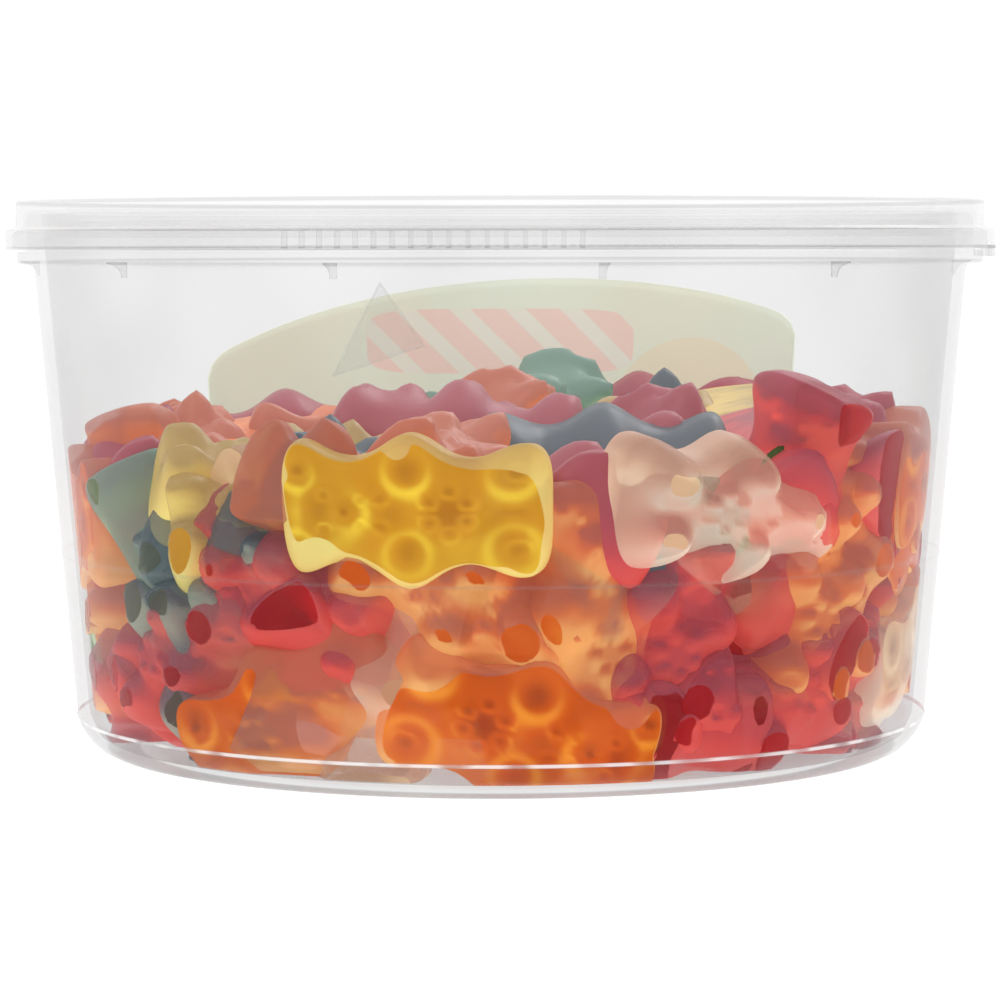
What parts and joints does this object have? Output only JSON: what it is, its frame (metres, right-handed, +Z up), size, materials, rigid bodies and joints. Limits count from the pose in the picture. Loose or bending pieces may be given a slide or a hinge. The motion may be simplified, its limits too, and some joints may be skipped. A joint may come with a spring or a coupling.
{
  "type": "tub of gummy bears",
  "caption": "Round clear plastic tub with a snapped-on clear lid and a label on its back wall, filled with fruit gum bears in several colours.",
  "frame": {"origin": "centre of the foot ring, on the surface the tub stands on", "axes": "+Z up along the tub's axis, the label on the +Y side, the front on the -Y side"},
  "size_m": [0.092, 0.092, 0.0508],
  "materials": {
    "tub_plastic": "clear thin-walled polypropylene, slightly hazy",
    "lid_plastic": "clear polypropylene, slightly hazy, with a moulded skirt",
    "label_film": "satin printed film, cream on the side that faces the contents",
    "gum_red": "translucent red fruit gum with a thin wax haze",
    "gum_orange": "translucent orange fruit gum with a thin wax haze",
    "gum_yellow": "translucent yellow fruit gum with a thin wax haze",
    "gum_green": "translucent green fruit gum with a thin wax haze",
    "gum_slate": "translucent blue-grey fruit gum with a thin wax haze",
    "gum_pale": "clear, almost colourless fruit gum with a thin wax haze"
  },
  "bodies": {
    "root": {"tub": "tub_plastic", "lid": "lid_plastic", "label": "label_film", "bears": "gum_red"}
  },
  "joints": []
}
